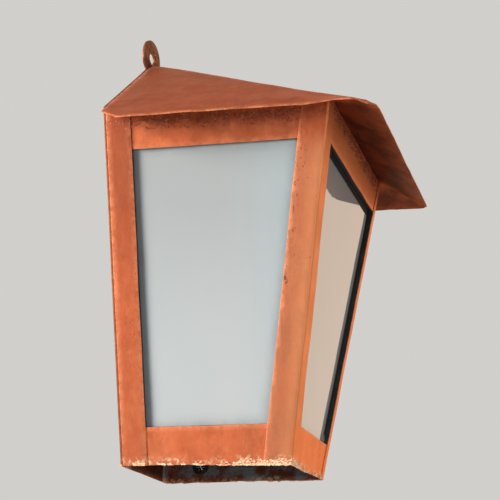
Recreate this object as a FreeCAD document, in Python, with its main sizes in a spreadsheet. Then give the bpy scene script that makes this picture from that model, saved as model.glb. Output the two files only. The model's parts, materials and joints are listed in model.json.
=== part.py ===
import FreeCAD, Part
import math
import os
import Sketcher

# Wall lantern of folded copper sheet, in millimetres.
# The wall is the plane y = 0 and the lantern stands out of it towards -Y, with +Z up.
# The origin is the middle of the back plate's lower edge, on the wall.
# The walls lean outwards as they rise, the back is upright, and the bottom is open.

# Driving dimensions: alias, value, meaning
SIZES = (
    ("bottom_width", "122", "across the walls at the open bottom"),
    ("bottom_depth", "120", "wall plane to front at the open bottom"),
    ("top_width", "234", "across the walls at their top"),
    ("top_depth", "159", "wall plane to front at the top of the walls"),
    ("wall_height", "240", "upright height of the walls"),
    ("sheet_thick", "0.7", "copper of posts and rails"),
    ("plate_thick", "1.5", "copper of the back plate"),
    ("post_leg", "19", "width of each leg of a corner post"),
    ("narrow_leg", "9.5", "front leg of the front right post"),
    ("top_rail", "29", "width of a side wall's top rail, along its wall"),
    ("front_top_rail", "26.5", "width of the front wall's top rail, along its wall"),
    ("bottom_rail", "26", "width of a bottom rail, along its wall"),
    ("rail_inset", "4", "rail end to the corner of its wall, behind the post"),
    ("pane_lap", "7", "pane and seal hidden behind the frame on each side"),
    ("seal_thick", "2", "glazing seal between rail and pane"),
    ("glass_thick", "3", "opal pane"),
    ("clip_thick", "1", "strip of a glass clip"),
    ("clip_width", "12", "width of a glass clip"),
    ("clip_foot", "8", "length of a clip's soldered foot"),
    ("clip_hook", "6", "reach of a clip over the pane"),
    ("clip_gap", "0.3", "pane edge to clip"),
    ("roof_rise", "71", "top of the walls to the peak, under the roof"),
    ("eave_drop", "15", "top of the walls down to the eaves"),
    ("roof_thick", "1.2", "roof sheet, measured upright"),
    ("roof_clip_along", "15", "clipped rear corner, along the eave"),
    ("roof_clip_across", "16", "clipped rear corner, across the lantern"),
    ("roof_corner", "4", "rounding of the front corners in plan"),
    ("eye_diameter", "29", "round head of the hanging eye"),
    ("eye_lift", "4.5", "peak of the roof to the middle of the head"),
    ("eye_hole", "9", "hole in the middle of the head"),
    ("eye_twist", "9", "turn of the head out of the wall plane, degrees"),
    ("eye_neck", "3.5", "height over which the neck twists"),
    ("lamp_reach", "68", "wall plane to the lamp's axis"),
    ("bracket_level", "232", "underside of the bracket's arm"),
    ("bracket_thick", "1.5", "strip of the lamp bracket"),
    ("bracket_width", "26", "width of the lamp bracket"),
    ("bracket_leg", "34", "upright leg of the bracket on the back plate"),
    ("bracket_end", "15", "lamp's axis to the end of the arm"),
    ("rivet_shank", "4", "rivet diameter"),
    ("rivet_head", "8", "rivet head diameter"),
    ("rivet_head_thick", "2", "rivet head height"),
    ("rivet_spacing", "14", "between the two rivets"),
    ("rivet_drop", "10", "arm down to the upper rivet"),
    ("fit_gap", "0.1", "radial clearance of shanks and threads in their holes"),
    ("shank_recess", "0.1", "shank ends short of the wall plane"),
    ("nipple_diameter", "10", "threaded nipple"),
    ("nipple_bore", "7", "lead hole through the nipple"),
    ("nipple_stand", "12", "nipple above the bracket's arm"),
    ("nut_flats", "17", "lock nut across flats"),
    ("nut_thick", "5", "lock nut"),
    ("holder_diameter", "40", "porcelain lamp holder"),
    ("holder_crown", "28", "top of the holder under the bracket"),
    ("holder_shoulder", "12", "slope from crown to full diameter"),
    ("holder_length", "48", "lamp holder from bracket to rim"),
    ("holder_floor", "18", "bracket to the floor of the socket"),
    ("cap_diameter", "26", "screw cap of the bulb"),
    ("cap_length", "27", "screw cap from tip to glass"),
    ("cap_gap", "0.3", "cap to screw shell"),
    ("shell_thick", "0.5", "brass screw shell"),
    ("shell_lip", "5", "inward lip of the shell on the socket floor"),
    ("shell_gap", "0.25", "shell to porcelain"),
    ("shell_length", "28", "screw shell from floor to rim"),
    ("contact_diameter", "8", "centre contact"),
    ("contact_thick", "3", "centre contact, pressed down"),
    ("contact_nose", "5", "flat nose of the centre contact"),
    ("bulb_diameter", "38", "tubular glass of the bulb"),
    ("bulb_length", "108", "bulb from tip to end"),
    ("bulb_collar", "10", "slope from the cap to the glass"),
    ("bulb_bevel", "4", "bevelled edge of the glass's end"),
    ("tip_diameter", "10", "flat contact tip of the bulb"),
    ("tip_slope", "3", "height of the slope from tip to cap"),
    ("block_width", "36", "terminal block"),
    ("block_height", "20", "terminal block"),
    ("block_depth", "15", "terminal block"),
    ("block_level", "60", "middle of the terminal block above the bottom"),
    ("block_way", "3.5", "square wire way through the terminal block"),
    ("way_spacing", "12", "between the wire ways"),
    ("way_depth", "8", "back of the block to the wire ways"),
    ("clamp_diameter", "4", "clamp screw"),
    ("clamp_spacing", "10", "between a way's two clamp screws"),
    ("clamp_recess", "1", "clamp screw below the face of the block"),
    ("fixing_shank", "3", "fixing screw of the block"),
    ("fixing_head", "5", "head of the fixing screw"),
    ("fixing_head_thick", "2", "head of the fixing screw"),
    ("earth_offset", "34", "middle of the plate to the earth screw"),
    ("earth_shank", "4", "earth screw"),
    ("earth_head", "8", "head of the earth screw"),
    ("earth_head_thick", "3", "head of the earth screw"),
    ("washer_diameter", "10", "earth washer"),
    ("washer_thick", "0.8", "earth washer"),
    ("grommet_back", "26", "wall plane to the cable grommet"),
    ("grommet_level", "12", "bottom of the wall up to the grommet"),
    ("grommet_flange", "12", "flange of the grommet"),
    ("grommet_lip", "1.5", "thickness of each flange"),
    ("grommet_neck", "8.5", "neck of the grommet in the rail"),
    ("grommet_bore", "6.5", "cable hole through the grommet"),
)

doc = FreeCAD.newDocument("wall_lantern")
sheet = doc.addObject("Spreadsheet::Sheet", "Size")
for row, (alias, value, meaning) in enumerate(SIZES, start=1):
    sheet.set(f"A{row}", meaning)
    sheet.set(f"B{row}", value)
    sheet.setAlias(f"B{row}", alias)
doc.recompute()

sub_parts = []

# Tolerance for picking edges, in millimetres
NEAR = 0.001


def size(alias):
    """One driving dimension as a number, for placements."""
    return float(sheet.get(alias))


def sub_part(kind, name):
    """A document object that is handed out under its label."""
    thing = doc.addObject(kind, name)
    thing.Label = name
    sub_parts.append(thing)
    return thing


def new_body(name):
    return sub_part("PartDesign::Body", name)


def new_sketch(body, role, name, depth="0"):
    """Sketch on one of the body's own planes, moved along the plane's normal by depth."""
    plane = next(f for f in body.Origin.OriginFeatures if f.Role == role)
    sketch = body.newObject("Sketcher::SketchObject", name)
    sketch.AttachmentSupport = (plane, "")
    sketch.MapMode = "FlatFace"
    sketch.setExpression("AttachmentOffset.Base.z", depth)
    return sketch


def pin(sketch, geometry, point, x, y):
    """Tie one point of a sketch to an x and a y expression."""
    for kind, expression in (("DistanceX", x), ("DistanceY", y)):
        place = sketch.getPoint(geometry, point)
        start = place.x if kind == "DistanceX" else place.y
        index = sketch.addConstraint(Sketcher.Constraint(kind, -1, 1, geometry, point, start))
        sketch.setExpression(f"Constraints[{index}]", expression)


def add_loop(sketch, corners):
    """Closed loop of lines through corners that are pairs of expressions."""
    first = sketch.GeometryCount
    count = len(corners)
    turn = 2 * math.pi / count
    starts = [FreeCAD.Vector(math.cos(turn * i), math.sin(turn * i), 0) for i in range(count)]
    for i in range(count):
        sketch.addGeometry(Part.LineSegment(starts[i], starts[(i + 1) % count]))
    for i in range(count):
        sketch.addConstraint(Sketcher.Constraint("Coincident", first + i, 2, first + (i + 1) % count, 1))
    for i, (x, y) in enumerate(corners):
        pin(sketch, first + i, 1, x, y)


def add_circle(sketch, x, y, diameter):
    index = sketch.addGeometry(Part.Circle(FreeCAD.Vector(0, 0, 0), FreeCAD.Vector(0, 0, 1), 1))
    pin(sketch, index, 3, x, y)
    tie = sketch.addConstraint(Sketcher.Constraint("Diameter", index, 2))
    sketch.setExpression(f"Constraints[{tie}]", diameter)


def loop_sketch(body, role, name, loops, depth="0"):
    sketch = new_sketch(body, role, name, depth)
    for corners in loops:
        add_loop(sketch, corners)
    return sketch


def pad(body, sketch, length, centred=False):
    feature = body.newObject("PartDesign::Pad", sketch.Name + "_pad")
    feature.Profile = sketch
    feature.setExpression("Length", length)
    if centred:
        feature.SideType = "Symmetric"
    return feature


def cut(body, sketch, depth=None, upwards=False):
    """Cut a sketch out of the body: through it both ways, or to a depth on one side of the sketch."""
    doc.recompute()
    before = body.Shape.Volume
    feature = body.newObject("PartDesign::Pocket", sketch.Name + "_cut")
    feature.Profile = sketch
    if depth is None:
        feature.Type = "ThroughAll"
        feature.SideType = "Symmetric"
    else:
        feature.setExpression("Length", depth)
        feature.Reversed = upwards
    doc.recompute()
    if body.Shape.Volume >= before:
        raise RuntimeError(f"{feature.Name} removes nothing")


def turn(body, sketch):
    """Solid of revolution about the sketch's upright axis."""
    feature = body.newObject("PartDesign::Revolution", sketch.Name + "_turned")
    feature.Profile = sketch
    feature.ReferenceAxis = (sketch, ["V_Axis"])
    feature.Angle = 360
    return feature


def rectangle(x_low, x_high, y_low, y_high):
    return [(x_low, y_low), (x_high, y_low), (x_high, y_high), (x_low, y_high)]


def group(name, members):
    """Identical pieces that share one node, each still a solid of its own."""
    compound = sub_part("Part::Compound", name)
    compound.Links = members
    return compound


def frame_at(origin, x_axis, y_axis):
    """Placement with the given origin and the directions of its first two axes."""
    x = FreeCAD.Vector(x_axis).normalize()
    y = FreeCAD.Vector(y_axis).normalize()
    z = x.cross(y)
    matrix = FreeCAD.Matrix(
        x.x, y.x, z.x, origin.x, x.y, y.y, z.y, origin.y, x.z, y.z, z.z, origin.z, 0, 0, 0, 1
    )
    return FreeCAD.Placement(matrix)


# Levels and leans that several pieces share
SIDE_RUN = "((Size.top_width - Size.bottom_width) / 2)"
FRONT_RUN = "(Size.top_depth - Size.bottom_depth)"
SIDE_SLANT = f"sqrt({SIDE_RUN}^2 + Size.wall_height^2)"
FRONT_SLANT = f"sqrt({FRONT_RUN}^2 + Size.wall_height^2)"
EAVE = "(Size.wall_height - Size.eave_drop)"
PEAK = "(Size.wall_height + Size.roof_rise)"
PEAK_TOP = f"({PEAK} + Size.roof_thick)"
EAVE_HALF = "(Size.top_width / 2 * (1 + Size.eave_drop / Size.roof_rise))"
EAVE_REACH = "(Size.top_depth * (1 + Size.eave_drop / Size.roof_rise))"
RAIL_BACK = "(2 * Size.sheet_thick)"
PANE_FRONT = "(2 * Size.sheet_thick + Size.seal_thick)"
PANE_BACK = "(2 * Size.sheet_thick + Size.seal_thick + Size.glass_thick)"

# Size that sets the front leg of each front post; the right one is narrower
FRONT_LEGS = {"left": "post_leg", "right": "narrow_leg"}


def runs():
    """How far the side walls and the front wall lean out over their height."""
    return (size("top_width") - size("bottom_width")) / 2, size("top_depth") - size("bottom_depth")


class Wall:
    """One glazed wall, drawn flat: x along the wall, y up its slant, z out of the lantern.

    Each upright edge is a foot on the bottom line and a lean per unit of slant.
    The legs of the posts at those edges and the top rail are named by their sizes.
    """

    def __init__(self, name, hand, slant, edges, legs, top_rail, placement):
        self.name = name
        self.hand = hand
        self.slant = slant
        self.edges = edges
        self.legs = legs
        self.top_rail = top_rail
        self.placement = placement

    def x(self, edge, inset, y):
        """Expression for the x of an upright edge at height y, moved inwards by inset."""
        foot, lean = self.edges[edge]
        inward = 1 if edge == 0 else -1
        return f"{self.hand} * ({foot} + {lean} * ({y}) + {inward} * ({inset}) * sqrt(1 + ({lean})^2))"

    def band(self, insets, low, high):
        """Corners between two heights, with an inset for each upright edge."""
        first, second = insets
        return [
            (self.x(0, first, low), low),
            (self.x(1, second, low), low),
            (self.x(1, second, high), high),
            (self.x(0, first, high), high),
        ]

    def levels(self):
        """Lower and upper edge of the opening."""
        return "Size.bottom_rail", f"({self.slant} - Size.{self.top_rail})"

    def opening(self, lap="0"):
        """Corners of the opening between posts and rails, made larger by lap on every side."""
        low, high = self.levels()
        return self.band([f"Size.{leg} - {lap}" for leg in self.legs], f"{low} - {lap}", f"{high} + {lap}")

    def hidden_strip(self, edge, lap):
        """Corners of the strip behind one post, lap wide, over the height of the opening."""
        low, high = self.levels()
        inner = f"Size.{self.legs[edge]}"
        outer = f"{inner} - {lap}"
        return [
            (self.x(edge, outer, low), low),
            (self.x(edge, inner, low), low),
            (self.x(edge, inner, high), high),
            (self.x(edge, outer, high), high),
        ]


def make_walls():
    side_run, front_run = runs()
    height = size("wall_height")
    half = size("bottom_width") / 2
    side_edges = (("0", "0"), ("Size.bottom_depth", f"{FRONT_RUN} / {SIDE_SLANT}"))
    lean = f"{SIDE_RUN} / {FRONT_SLANT}"
    front_edges = (("-Size.bottom_width / 2", f"-({lean})"), ("Size.bottom_width / 2", lean))
    left = frame_at(FreeCAD.Vector(-half, 0, 0), (0, -1, 0), (-side_run, 0, height))
    right = frame_at(FreeCAD.Vector(half, 0, 0), (0, 1, 0), (side_run, 0, height))
    front = frame_at(FreeCAD.Vector(0, -size("bottom_depth"), 0), (1, 0, 0), (0, -front_run, height))
    even_legs = ("post_leg", "post_leg")
    return (
        Wall("left", 1, SIDE_SLANT, side_edges, even_legs, "top_rail", left),
        Wall("right", -1, SIDE_SLANT, side_edges, even_legs, "top_rail", right),
        Wall("front", 1, FRONT_SLANT, front_edges, tuple(FRONT_LEGS.values()), "front_top_rail", front),
    )


def make_rails(wall):
    """Top and bottom rail: flat strips soldered behind the posts."""
    bands = {
        "top": (f"{wall.slant} - Size.{wall.top_rail}", wall.slant),
        "bottom": ("0", "Size.bottom_rail"),
    }
    for place, (low, high) in bands.items():
        body = new_body(f"{wall.name}_{place}_rail")
        corners = wall.band(("Size.rail_inset", "Size.rail_inset"), low, high)
        flat = loop_sketch(body, "XY_Plane", body.Name + "_flat", [corners], f"-{RAIL_BACK}")
        pad(body, flat, "Size.sheet_thick")
        if wall.name == "right" and place == "bottom":
            hole = new_sketch(body, "XY_Plane", "cable_hole")
            diameter = "Size.grommet_neck + 2 * Size.fit_gap"
            add_circle(hole, f"{wall.hand} * Size.grommet_back", "Size.grommet_level", diameter)
            cut(body, hole)
        body.Placement = wall.placement


def make_seal(wall):
    """Black glazing seal: a ring against the rails, filled out to the posts between them."""
    outer = wall.opening("Size.pane_lap")
    inner = wall.opening()
    body = new_body(f"{wall.name}_glass_seal")
    ring = loop_sketch(body, "XY_Plane", body.Name + "_ring", [outer, inner], f"-{PANE_FRONT}")
    pad(body, ring, "Size.seal_thick")
    strips = [wall.hidden_strip(edge, "Size.pane_lap") for edge in (0, 1)]
    fill = loop_sketch(body, "XY_Plane", body.Name + "_fill", strips, f"-{RAIL_BACK}")
    pad(body, fill, "Size.sheet_thick")
    body.Placement = wall.placement


def make_pane(wall):
    body = new_body(f"{wall.name}_glass_pane")
    corners = wall.opening("Size.pane_lap")
    flat = loop_sketch(body, "XY_Plane", body.Name + "_flat", [corners], f"-{PANE_BACK}")
    pad(body, flat, "Size.glass_thick")
    body.Placement = wall.placement


def make_clip(name, seat, placement):
    """Bent strip that holds a pane: foot on the frame, web past the pane's edge, hook over the pane.

    Drawn with x away from the opening and y out of the lantern; seat is the depth of the foot's face.
    """
    web = "(Size.pane_lap + Size.clip_gap)"
    thick = "Size.clip_thick"
    foot_end = f"{web} + Size.clip_foot"
    hook_end = f"{web} - Size.clip_hook"
    corners = [
        (web, f"-{seat}"),
        (foot_end, f"-{seat}"),
        (foot_end, f"-{seat} - {thick}"),
        (f"{web} + {thick}", f"-{seat} - {thick}"),
        (f"{web} + {thick}", f"-{PANE_BACK} - {thick}"),
        (hook_end, f"-{PANE_BACK} - {thick}"),
        (hook_end, f"-{PANE_BACK}"),
        (web, f"-{PANE_BACK}"),
    ]
    clip = doc.addObject("PartDesign::Body", name)
    profile = loop_sketch(clip, "XY_Plane", name + "_profile", [corners])
    pad(clip, profile, "Size.clip_width", centred=True)
    clip.Placement = placement
    return clip


def edge_line(wall, edge):
    """Foot and lean of a wall's upright edge as numbers, from the same sizes as its sketch."""
    side_run, front_run = runs()
    height = size("wall_height")
    if wall.name == "front":
        sign = -1 if edge == 0 else 1
        return sign * size("bottom_width") / 2, sign * side_run / math.hypot(front_run, height)
    if edge == 0:
        return 0.0, 0.0
    return wall.hand * size("bottom_depth"), wall.hand * front_run / math.hypot(side_run, height)


def make_clips(wall):
    """A clip at the middle of each edge of a pane's opening where the frame has room for its foot."""
    side_run, front_run = runs()
    run = front_run if wall.name == "front" else side_run
    slant = math.hypot(run, size("wall_height"))
    low = size("bottom_rail")
    high = slant - size(wall.top_rail)
    room = size("pane_lap") + size("clip_gap") + size("clip_foot")
    edges = [edge_line(wall, 0), edge_line(wall, 1)]
    clips = []
    for place, y, outward in (("bottom", low, -1), ("top", high, 1)):
        x = sum(foot + lean * y for foot, lean in edges) / 2
        spot = frame_at(FreeCAD.Vector(x, y, 0), (0, outward, 0), (0, 0, 1))
        name = f"{wall.name}_{place}_clip"
        clips.append(make_clip(name, RAIL_BACK, wall.placement.multiply(spot)))
    middle = (low + high) / 2
    for place, leg, (foot, lean) in zip(("first", "second"), wall.legs, edges):
        if size(leg) < room:
            continue
        outward = -wall.hand if place == "first" else wall.hand
        across = FreeCAD.Vector(1, -lean, 0).normalize() * outward
        corner = FreeCAD.Vector(foot + lean * middle, middle, 0)
        spot = frame_at(corner - across * size(leg), across, (0, 0, 1))
        name = f"{wall.name}_{place}_clip"
        clips.append(make_clip(name, "Size.sheet_thick", wall.placement.multiply(spot)))
    group(f"{wall.name}_glass_clips", clips)


def make_post(name, hand, at_front, front_leg="post_leg"):
    """Corner post: an L drawn level at the bottom and drawn out along the slanted corner."""
    side_wall = f"Size.sheet_thick * {SIDE_SLANT} / Size.wall_height"
    corner_x = "Size.bottom_width / 2"
    if at_front:
        corner_y = "-Size.bottom_depth"
        thick_y = f"Size.sheet_thick * {FRONT_SLANT} / Size.wall_height"
        leg_x = f"Size.{front_leg} * sqrt(1 + ({SIDE_RUN} / {FRONT_SLANT})^2)"
        leg_y = f"Size.post_leg * sqrt(1 + ({FRONT_RUN} / {SIDE_SLANT})^2)"
        inward = "1"
        lean_y = f"-{FRONT_RUN}"
    else:
        corner_y = "-Size.plate_thick"
        thick_y = "Size.sheet_thick"
        leg_x = f"Size.post_leg * sqrt(1 + ({SIDE_RUN} / Size.wall_height)^2)"
        leg_y = "(Size.post_leg - Size.plate_thick)"
        inward = "-1"
        lean_y = "0"
    level = [
        ("0", "0"),
        (leg_x, "0"),
        (leg_x, thick_y),
        (side_wall, thick_y),
        (side_wall, leg_y),
        ("0", leg_y),
    ]
    corners = [(f"{hand} * ({corner_x} - {x})", f"{corner_y} + {inward} * {y}") for x, y in level]
    body = new_body(name)
    ell = loop_sketch(body, "XY_Plane", name + "_section", [corners])
    prism = pad(body, ell, "Size.wall_height")
    prism.UseCustomVector = True
    prism.AlongSketchNormal = True
    prism.setExpression("Direction.x", f"{hand} * {SIDE_RUN}")
    prism.setExpression("Direction.y", lean_y)
    prism.setExpression("Direction.z", "Size.wall_height")


def make_back_plate():
    """Upright sheet with a gable under the roof and a hanging eye that twists out of its plane."""
    radius = "(Size.eye_diameter / 2)"
    gable = "Size.top_width / 2"
    fall = "(2 * Size.roof_rise / Size.top_width)"
    # The head's circle meets the level of the peak at peak_x and the sloping edge of the gable at neck_x
    peak_x = f"sqrt({radius}^2 - Size.eye_lift^2)"
    steep = f"(1 + {fall}^2)"
    neck_x = f"((sqrt({radius}^2 * {steep} - Size.eye_lift^2) - {fall} * Size.eye_lift) / {steep})"
    body = new_body("back_plate")
    half = [
        ("Size.bottom_width / 2", "0"),
        (gable, "Size.wall_height"),
        (gable, "Size.wall_height + Size.roof_thick"),
        (neck_x, f"{PEAK_TOP} - {fall} * {neck_x}"),
        (peak_x, PEAK_TOP),
    ]
    other = [(f"-({x})", y) for x, y in reversed(half)]
    flat = loop_sketch(body, "XZ_Plane", "plate_flat", [half + other])
    pad(body, flat, "Size.plate_thick")

    # The neck turns about the upright line through the middle of the sheet
    chord_x = f"sqrt({radius}^2 - (Size.eye_lift - Size.eye_neck)^2)"
    neck_top = f"{PEAK_TOP} + Size.eye_neck"
    half_thick = "Size.plate_thick / 2"
    sections = []
    for name, wide, level in (("neck_low", peak_x, PEAK_TOP), ("neck_high", chord_x, neck_top)):
        box = rectangle(f"-{wide}", wide, f"-{half_thick}", half_thick)
        section = loop_sketch(body, "XY_Plane", name, [box], level)
        section.setExpression("AttachmentOffset.Base.y", f"-{half_thick}")
        sections.append(section)
    twist(sections[1], (0, 0, -1))
    neck = body.newObject("PartDesign::AdditiveLoft", "eye_neck_loft")
    neck.Profile = sections[0]
    neck.Sections = [sections[1]]
    neck.Ruled = True

    head = new_sketch(body, "XZ_Plane", "eye_head", half_thick)
    add_head(head, chord_x)
    twist(head, (0, -1, 0))
    pad(body, head, "Size.plate_thick", centred=True)
    hole = new_sketch(body, "XZ_Plane", "eye_hole_line", half_thick)
    add_circle(hole, "0", f"{PEAK_TOP} + Size.eye_lift", "Size.eye_hole")
    twist(hole, (0, -1, 0))
    cut(body, hole)

    for name, x, z, diameter in plate_holes():
        drilled = new_sketch(body, "XZ_Plane", name)
        add_circle(drilled, x, z, f"{diameter} + 2 * Size.fit_gap")
        cut(body, drilled)


def twist(sketch, down):
    """Turn a sketch by the twist of the eye; down is the way to the ground in the sketch's own axes."""
    turned = FreeCAD.Rotation(FreeCAD.Vector(down), size("eye_twist"))
    sketch.AttachmentOffset = FreeCAD.Placement(FreeCAD.Vector(), turned)
    sketch.setExpression("AttachmentOffset.Rotation.Angle", "Size.eye_twist")


def add_head(sketch, chord_x):
    """Round head above the chord where the neck ends."""
    radius = size("eye_diameter") / 2
    level = size("wall_height") + size("roof_rise") + size("roof_thick") + size("eye_lift")
    below = size("eye_lift") - size("eye_neck")
    dip = math.asin(below / radius)
    circle = Part.Circle(FreeCAD.Vector(0, level, 0), FreeCAD.Vector(0, 0, 1), radius)
    arc = sketch.addGeometry(Part.ArcOfCircle(circle, -dip, math.pi + dip))
    half = radius * math.cos(dip)
    ends = [FreeCAD.Vector(x, level - below, 0) for x in (-half, half)]
    line = sketch.addGeometry(Part.LineSegment(ends[0], ends[1]))
    sketch.addConstraint(Sketcher.Constraint("Coincident", arc, 2, line, 1))
    sketch.addConstraint(Sketcher.Constraint("Coincident", line, 2, arc, 1))
    pin(sketch, line, 1, f"-{chord_x}", f"{PEAK_TOP} + Size.eye_neck")
    pin(sketch, line, 2, chord_x, f"{PEAK_TOP} + Size.eye_neck")
    tie = sketch.addConstraint(Sketcher.Constraint("Radius", arc, radius))
    sketch.setExpression(f"Constraints[{tie}]", "Size.eye_diameter / 2")


def rivet_levels():
    return [
        "Size.bracket_level - Size.rivet_drop",
        "Size.bracket_level - Size.rivet_drop - Size.rivet_spacing",
    ]


def plate_holes():
    """Holes of the back plate: name, x, z and the shank that goes through."""
    holes = []
    for i, level in enumerate(rivet_levels(), start=1):
        holes.append((f"rivet_hole_{i}", "0", level, "Size.rivet_shank"))
    holes.append(("fixing_hole", "0", "Size.block_level", "Size.fixing_shank"))
    holes.append(("earth_hole", "Size.earth_offset", "Size.block_level", "Size.earth_shank"))
    return holes


def make_roof():
    """Half pyramid folded from one sheet along its two hips, open at the back and below."""
    shell = doc.addObject("PartDesign::Body", "roof_folded")
    plan = rectangle(f"-{EAVE_HALF}", EAVE_HALF, f"-{EAVE_REACH}", "0")
    edge = loop_sketch(shell, "XY_Plane", "eave_edge", [plan], EAVE)
    pad(shell, edge, "Size.roof_thick")
    for name, kind, low, top in (
        ("roof_outside", "PartDesign::AdditiveLoft", f"{EAVE} + Size.roof_thick", PEAK_TOP),
        ("roof_inside", "PartDesign::SubtractiveLoft", EAVE, PEAK),
    ):
        eaves = loop_sketch(shell, "XY_Plane", name + "_eaves", [plan], low)
        peak = new_sketch(shell, "XY_Plane", name + "_peak", top)
        peak.addGeometry(Part.Point(FreeCAD.Vector(0, 0, 0)))
        peak.addConstraint(Sketcher.Constraint("Coincident", 0, 1, -1, 1))
        doc.recompute()
        slopes = shell.newObject(kind, name)
        slopes.Profile = eaves
        slopes.Sections = [peak]
        slopes.Ruled = True

    # Trimmed in plan: rear edge against the back plate, rear corners clipped, front corners rounded
    trim = doc.addObject("PartDesign::Body", "roof_trim")
    rear = "-Size.plate_thick"
    clip_y = f"{rear} - Size.roof_clip_along"
    clip_x = f"({EAVE_HALF} - Size.roof_clip_across)"
    corners = [
        (f"-{EAVE_HALF}", f"-{EAVE_REACH}"),
        (EAVE_HALF, f"-{EAVE_REACH}"),
        (EAVE_HALF, clip_y),
        (clip_x, rear),
        (f"-{clip_x}", rear),
        (f"-{EAVE_HALF}", clip_y),
    ]
    outline = loop_sketch(trim, "XY_Plane", "roof_plan", [corners], EAVE)
    block = pad(trim, outline, f"{PEAK_TOP} - {EAVE}")
    doc.recompute()
    front = min(v.Point.y for v in block.Shape.Vertexes)
    upright = [
        f"Edge{i}"
        for i, edge in enumerate(block.Shape.Edges, start=1)
        if edge.BoundBox.XLength < NEAR and edge.BoundBox.YMax - front < NEAR
    ]
    rounding = trim.newObject("PartDesign::Fillet", "roof_corners")
    rounding.Base = (block, upright)
    rounding.setExpression("Radius", "Size.roof_corner")
    roof = sub_part("Part::Common", "roof")
    roof.Base = shell
    roof.Tool = trim


def make_bracket():
    """Strip folded to an L: a leg on the back plate and an arm out to the lamp's axis."""
    inner = "(Size.plate_thick + Size.bracket_thick)"
    level = "Size.bracket_level"
    top = f"({level} + Size.bracket_thick)"
    foot = f"{top} - Size.bracket_leg"
    reach = "(Size.lamp_reach + Size.bracket_end)"
    corners = [
        ("-Size.plate_thick", foot),
        ("-Size.plate_thick", top),
        (f"-{reach}", top),
        (f"-{reach}", level),
        (f"-{inner}", level),
        (f"-{inner}", foot),
    ]
    body = new_body("lamp_bracket")
    profile = loop_sketch(body, "YZ_Plane", "bracket_profile", [corners])
    pad(body, profile, "Size.bracket_width", centred=True)
    nipple_hole = new_sketch(body, "XY_Plane", "nipple_hole", level)
    add_circle(nipple_hole, "0", "-Size.lamp_reach", "Size.nipple_diameter + 2 * Size.fit_gap")
    cut(body, nipple_hole, "Size.bracket_thick", upwards=True)
    rivet_holes = new_sketch(body, "XZ_Plane", "bracket_rivet_holes")
    for z in rivet_levels():
        add_circle(rivet_holes, "0", z, "Size.rivet_shank + 2 * Size.fit_gap")
    cut(body, rivet_holes)


def turned_pin(name, corners, placement, shared=False):
    """Round piece from a half section: x is the radius and y runs along the axis."""
    body = doc.addObject("PartDesign::Body", name) if shared else new_body(name)
    section = loop_sketch(body, "XZ_Plane", name + "_section", [corners])
    turn(body, section)
    body.Placement = placement
    return body


def into_wall(x, y, z):
    """Placement whose upright axis points from the room into the wall."""
    return frame_at(FreeCAD.Vector(x, y, z), (1, 0, 0), (0, 0, -1))


def headed_pin(name, head, head_thick, shank, length, placement, shared=False):
    """Pin with a flat head: the seat of the head is at 0 and the shank runs up from it."""
    corners = [
        ("0", f"-{head_thick}"),
        (f"{head} / 2", f"-{head_thick}"),
        (f"{head} / 2", "0"),
        (f"{shank} / 2", "0"),
        (f"{shank} / 2", length),
        ("0", length),
    ]
    return turned_pin(name, corners, placement, shared)


def make_rivets():
    seat = size("plate_thick") + size("bracket_thick")
    top = size("bracket_level") - size("rivet_drop")
    rivets = []
    for i in range(2):
        rivets.append(
            headed_pin(
                f"rivet_{i + 1}",
                "Size.rivet_head",
                "Size.rivet_head_thick",
                "Size.rivet_shank",
                "Size.plate_thick + Size.bracket_thick - Size.shank_recess",
                into_wall(0, -seat, top - i * size("rivet_spacing")),
                shared=True,
            )
        )
    group("bracket_rivets", rivets)


def lamp_axis():
    """Frame of the lamp: its origin is where the axis meets the underside of the bracket's arm."""
    return FreeCAD.Placement(
        FreeCAD.Vector(0, -size("lamp_reach"), size("bracket_level")), FreeCAD.Rotation()
    )


def make_lamp():
    """Nipple, nut, porcelain holder, screw shell, contact and bulb, all turned about the lamp's axis."""
    axis = lamp_axis()
    thread = "Size.nipple_diameter / 2"
    bore = f"({thread} + Size.fit_gap)"
    socket = "(Size.cap_diameter / 2 + Size.cap_gap + Size.shell_thick + Size.shell_gap)"
    floor = "Size.holder_floor"
    turned_pin(
        "lamp_holder",
        [
            (bore, "0"),
            ("Size.holder_crown / 2", "0"),
            ("Size.holder_diameter / 2", "-Size.holder_shoulder"),
            ("Size.holder_diameter / 2", "-Size.holder_length"),
            (socket, "-Size.holder_length"),
            (socket, f"-{floor}"),
            (bore, f"-{floor}"),
        ],
        axis,
    )
    shell_in = "(Size.cap_diameter / 2 + Size.cap_gap)"
    shell_out = f"({shell_in} + Size.shell_thick)"
    turned_pin(
        "screw_shell",
        [
            (shell_out, f"-{floor}"),
            (shell_out, f"-{floor} - Size.shell_length"),
            (shell_in, f"-{floor} - Size.shell_length"),
            (shell_in, f"-{floor} - Size.shell_thick"),
            (f"{shell_in} - Size.shell_lip", f"-{floor} - Size.shell_thick"),
            (f"{shell_in} - Size.shell_lip", f"-{floor}"),
        ],
        axis,
    )
    nipple_end = "(Size.holder_floor - Size.contact_thick)"
    turned_pin(
        "threaded_nipple",
        [
            ("Size.nipple_bore / 2", f"-{nipple_end}"),
            (thread, f"-{nipple_end}"),
            (thread, "Size.bracket_thick + Size.nipple_stand"),
            ("Size.nipple_bore / 2", "Size.bracket_thick + Size.nipple_stand"),
        ],
        axis,
    )
    contact = "Size.contact_diameter / 2"
    turned_pin(
        "centre_contact",
        [
            ("0", f"-{nipple_end}"),
            (contact, f"-{nipple_end}"),
            (contact, f"-{floor} - Size.contact_thick / 2"),
            ("Size.contact_nose / 2", f"-{floor} - Size.contact_thick"),
            ("0", f"-{floor} - Size.contact_thick"),
        ],
        axis,
    )
    make_nut(axis)
    make_bulb(axis)


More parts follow.
